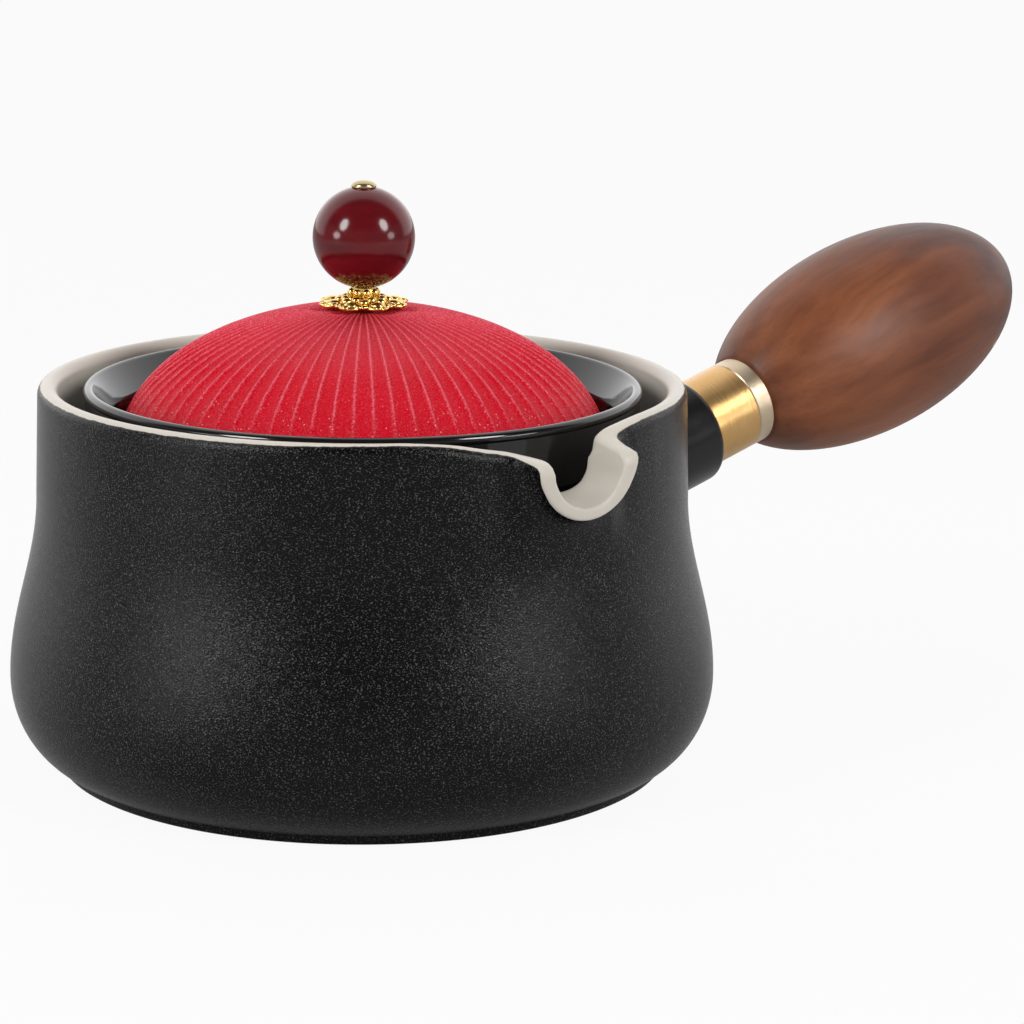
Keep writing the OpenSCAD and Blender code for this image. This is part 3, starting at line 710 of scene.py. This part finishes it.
# Bead cup: a gilt collar on the flower, two rows of grains around a turned core, hollowed on
# top to hold the bead. The pin runs down through its middle.
bead_middle, bead_radius, cup_floor, cup_core = 72.8, 7.0, 63.8, 1.7
cup_top = bead_middle - math.sqrt((bead_radius + 0.1) ** 2 - cup_core**2)
bead_cup = turned(
    "bead_cup_grains",
    [(pin_hole, cup_floor), (2.5, cup_floor), (2.45, cup_floor + 0.3), (cup_core, cup_floor + 1.1)]
    + [(cup_core, cup_top), (pin_hole, cup_top - 0.1), (pin_hole, cup_floor)],
    48,
)
bpy.ops.object.mode_set(mode="EDIT")
bpy.ops.mesh.select_all(action="DESELECT")
for i in range(8):
    grain_of_gold(2.0, math.tau * i / 8, cup_floor + 0.55, 0.7, 0.8)
    grain_of_gold(1.7, math.tau * (i + 0.5) / 8, cup_floor + 1.45, 0.6)
bpy.ops.object.mode_set(mode="OBJECT")
bpy.ops.object.shade_smooth_by_angle(angle=math.radians(60))
bead_cup.data.materials.append(gilt)
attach(bead_cup, "lid_with_knob")
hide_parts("bead_cup")

# Bead: a ball of dark red agate, bored through and polished. The cut sphere stays, with the
# stone's cloudy layers in its colour.
agate, shader = new_finish("agate", Roughness=0.14, Specular_IOR_Level=0.34)
place = add(agate, "TexCoord").outputs["Object"]
layers = add(agate, "Mapping", Vector=place, Scale=(60, 60, 260)).outputs[0]
cloud = cloudy(agate, layers, 1, 4)
stone = blended(agate, spread(agate, cloud, 0.35, 0.7), paint(78, 9, 15), paint(104, 14, 22))
connect(agate, shader, Base_Color=stone)
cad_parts["knob_bead"].data.materials.clear()
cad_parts["knob_bead"].data.materials.append(agate)

# Pin: a headed brass pin through bead, cups and lid, with a low domed head that follows the
# bead. Under the lid a silicone washer and a nut hold it; they stay as they were cut.
pin_radius, head_radius, pin_bottom, pin_top = 1.0, 1.7, 56.7, 80.6
head_under = bead_middle + math.sqrt(bead_radius**2 - head_radius**2) + 0.1
pin = turned(
    "pin_headed",
    [(0, pin_bottom), (pin_radius - 0.2, pin_bottom), (pin_radius, pin_bottom + 0.2)]
    + [(pin_radius, head_under + 0.12), (head_radius, head_under)]
    + arc(0, head_under + 0.15, head_radius, pin_top - head_under - 0.15, 0, 90, 12),
    64,
)
pin_brass, shader = new_finish("pin_brass_polish", Metallic=1.0)
place = add(pin_brass, "TexCoord").outputs["Object"]
drift = cloudy(pin_brass, place, 700)
connect(
    pin_brass,
    shader,
    Base_Color=blended(pin_brass, drift, paint(170, 152, 112), paint(198, 182, 142)),
    Roughness=spread(pin_brass, drift, 0.3, 0.7, 0.2, 0.34),
)
pin.data.materials.append(pin_brass)
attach(pin, "lid_with_knob")
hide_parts("knob_pin")
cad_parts["lid_nut"].data.materials.clear()
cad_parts["lid_nut"].data.materials.append(pin_brass)

silicone, shader = new_finish("silicone", Roughness=0.55)
place = add(silicone, "TexCoord").outputs["Object"]
milk = cloudy(silicone, place, 400)
milky = blended(silicone, milk, paint(206, 203, 194), paint(224, 221, 213))
connect(silicone, shader, Base_Color=milky)
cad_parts["lid_washer"].data.materials.clear()
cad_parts["lid_washer"].data.materials.append(silicone)

# Studio: a pale floor that the camera sees as white, a bright sweep behind the pot that reaches
# overhead, and a dim front. A tall softbox and a low panel stand on both sides of the camera.
camera_glow, mirror_glow, lamp_distance = 0.93, 0.1, 0.9
bpy.ops.object.select_all(action="DESELECT")
bpy.ops.mesh.primitive_plane_add(size=12)
table = bpy.context.object
table.name = "table"
table_white, shader = new_finish("table_white", Roughness=0.9, Specular_IOR_Level=0.0)
place = add(table_white, "TexCoord").outputs["Object"]
paper = cloudy(table_white, place, 40)
connect(
    table_white,
    shader,
    Base_Color=blended(table_white, paper, paint(188, 188, 188), paint(192, 192, 192)),
)
path = add(table_white, "LightPath")
clear = maths(
    table_white, "MAXIMUM", path.outputs["Is Camera Ray"], path.outputs["Is Transmission Ray"]
)
mirrored = maths(table_white, "MULTIPLY", path.outputs["Is Glossy Ray"], mirror_glow)
glow = add(table_white, "Emission", Strength=1.0)
lit = add(
    table_white,
    "MixShader",
    _0=maths(table_white, "MAXIMUM", maths(table_white, "MULTIPLY", clear, camera_glow), mirrored),
    _1=shader.outputs[0],
    _2=glow.outputs[0],
)
table_white.node_tree.links.new(
    lit.outputs[0], table_white.node_tree.nodes["Material Output"].inputs["Surface"]
)
table.data.materials.append(table_white)

sky = bpy.data.worlds.new("studio")
bpy.context.scene.world = sky
sky.use_nodes = True
photo_turn = -36.0
away = (-math.sin(math.radians(photo_turn)), math.cos(math.radians(photo_turn)), 0)
towards_sky = add(sky, "TexCoord").outputs["Generated"]
up = add(sky, "SeparateXYZ", Vector=towards_sky).outputs["Z"]
ahead = add(
    sky, "VectorMath", {"operation": "DOT_PRODUCT"}, _0=towards_sky, _1=away
).outputs["Value"]
backdrop = maths(sky, "MULTIPLY", spread(sky, up, 0.3, 1, 1.5, 1.1), spread(sky, ahead, 0.1, 0.3))
level = maths(sky, "MAXIMUM", spread(sky, up, 0.3, 0.45, 0.32, 0.1), backdrop)
level = maths(sky, "MAXIMUM", level, add(sky, "LightPath").outputs["Is Camera Ray"])
shade = sky.node_tree.nodes["Background"]
shade.inputs["Color"].default_value = (1, 1, 1, 1)
sky.node_tree.links.new(level, shade.inputs["Strength"])

pot_middle = Vector((0, 0, 0.035))
for name, turn, height, power, wide, tall in (
    ("softbox_left", -52, 32, 4.4, 0.27, 0.38),
    ("softbox_right", 52, 32, 4.2, 0.27, 0.38),
    ("panel_left", -64, 9, 1.3, 0.26, 0.2),
    ("panel_right", 64, 9, 0.9, 0.26, 0.2),
):
    a, e = math.radians(photo_turn + turn), math.radians(height)
    towards = Vector((math.sin(a) * math.cos(e), -math.cos(a) * math.cos(e), math.sin(e)))
    bpy.ops.object.light_add(type="AREA", location=pot_middle + towards * lamp_distance)
    lamp = bpy.context.object
    lamp.name = name
    lamp.rotation_euler = towards.to_track_quat("Z", "Y").to_euler()
    lamp.data.shape = "ELLIPSE"
    lamp.data.size, lamp.data.size_y = wide, tall
    lamp.data.energy = power

# Camera: a long lens at the photograph's place, a little above the lid and looking down on it.
camera_place = Vector((0, -446.38, 137.38)) * mm
camera_pitch, camera_yaw, camera_roll = map(math.radians, (12.99, 2.65, 0.649))
around_pot = Matrix.Rotation(math.radians(photo_turn), 3, "Z")
bpy.ops.object.camera_add(location=around_pot @ camera_place)
camera = bpy.context.object
camera.rotation_euler = (
    around_pot
    @ Matrix.Rotation(-camera_yaw, 3, "Z")
    @ Matrix.Rotation(math.pi / 2 - camera_pitch, 3, "X")
    @ Matrix.Rotation(camera_roll, 3, "Z")
).to_euler()
camera.data.sensor_width = 36
camera.data.lens = 115.67
camera.data.clip_start = 0.01
bpy.context.scene.camera = camera
bpy.context.scene.view_settings.view_transform = "Standard"
